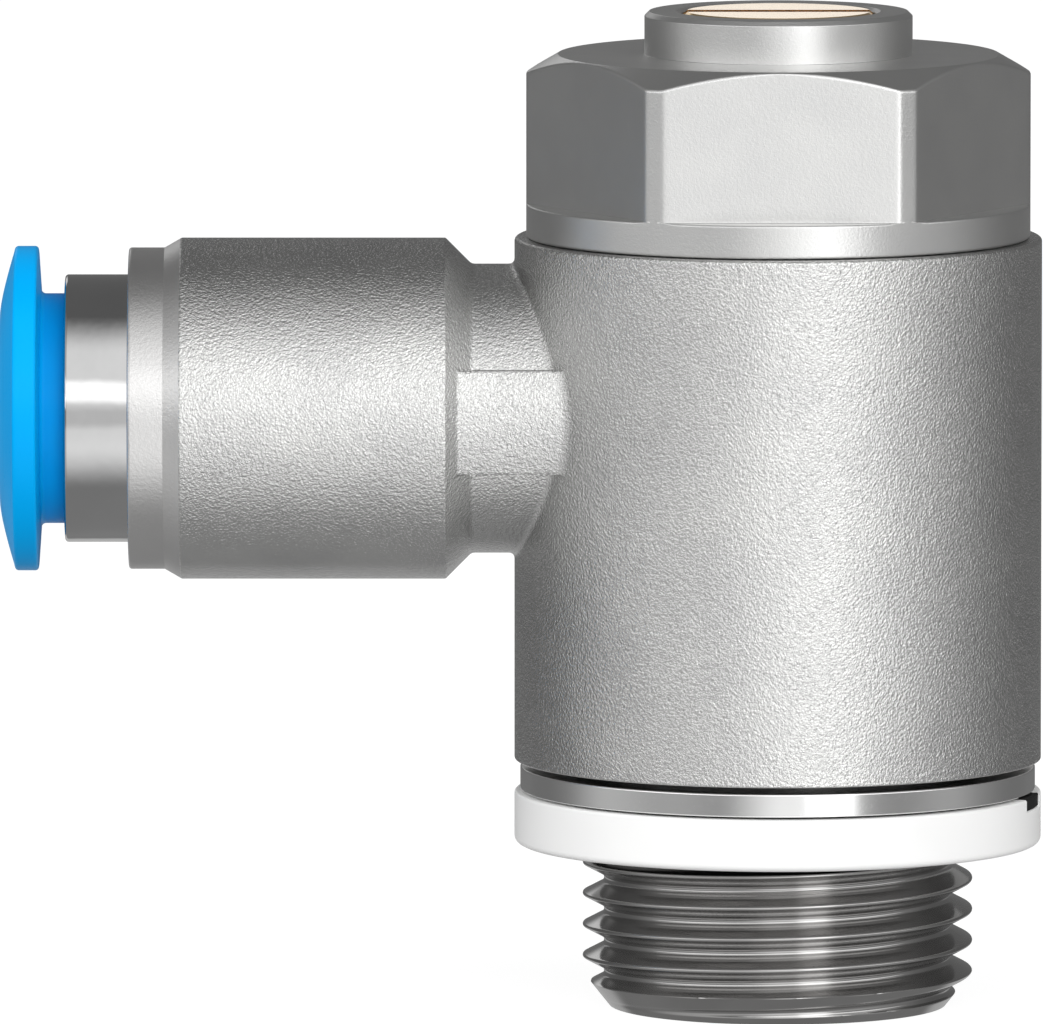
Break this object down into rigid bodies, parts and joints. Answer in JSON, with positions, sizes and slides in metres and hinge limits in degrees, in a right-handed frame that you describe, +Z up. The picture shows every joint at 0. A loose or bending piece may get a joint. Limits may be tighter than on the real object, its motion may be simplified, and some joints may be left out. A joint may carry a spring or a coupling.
{
  "type": "one-way flow control valve",
  "caption": "Banjo-type one-way flow control valve: hollow threaded bolt with slotted throttle screw, swivelling body and a push-in tube fitting with release ring.",
  "frame": {"origin": "on the bolt's axis, in the plane where the port seal's underside meets the port's face", "axes": "+Z up along the bolt's axis toward the regulating screw, -X along the side arm toward the tube, -Y toward the viewer of the picture"},
  "size_m": [0.0445, 0.0224, 0.0426],
  "materials": {
    "nickel_bolt": "nickel-plated brass, fine satin blasted",
    "cast_body": "nickel-plated die-cast zinc with an orange-peel skin",
    "brass": "bare machined brass",
    "bright_steel": "bright polished steel",
    "white_plastic": "white moulded plastic",
    "ivory_plastic": "natural moulded plastic",
    "blue_plastic": "semi-gloss blue moulded plastic",
    "black_rubber": "black nitrile rubber"
  },
  "bodies": {
    "bolt": {"hollow_bolt": "nickel_bolt", "throttle_seat": "brass", "retaining_ring": "bright_steel", "port_seal_carrier": "white_plastic", "port_seal": "black_rubber", "upper_body_seal": "black_rubber", "lower_body_seal": "black_rubber", "check_lip_seal": "black_rubber", "lip_seal_ring": "ivory_plastic"},
    "swivel": {"swivel_body": "cast_body", "cartridge_sleeve": "bright_steel", "grip_collet": "bright_steel", "collet_ring": "ivory_plastic", "seal_washer": "ivory_plastic", "tube_seal": "black_rubber"},
    "release": {"release_ring": "blue_plastic"},
    "screw_lift": {"screw_seal": "black_rubber"},
    "screw": {"regulating_screw": "brass"}
  },
  "joints": [
    {"name": "body_swivel", "type": "hinge", "parent": "bolt", "child": "swivel", "pos_m": [0, 0, 0], "axis": [0, 0, 1], "continuous": true},
    {"name": "release_press", "type": "slide", "parent": "swivel", "child": "release", "axis": [1, 0, 0], "range_m": [0, 0.0009], "stiffness_N_per_m": 2000, "deforming": ["grip_collet"]},
    {"name": "screw_lift", "type": "slide", "parent": "bolt", "child": "screw_lift", "axis": [0, 0, 1], "range_m": [0, 0.003]},
    {"name": "screw_turn", "type": "hinge", "parent": "screw_lift", "child": "screw", "pos_m": [0, 0, 0], "axis": [0, 0, 1], "range_deg": [0, 1440]}
  ],
  "couplings": [
    {"joint": "screw_turn", "follows": "screw_lift", "rad_per_m": 8377.6}
  ]
}
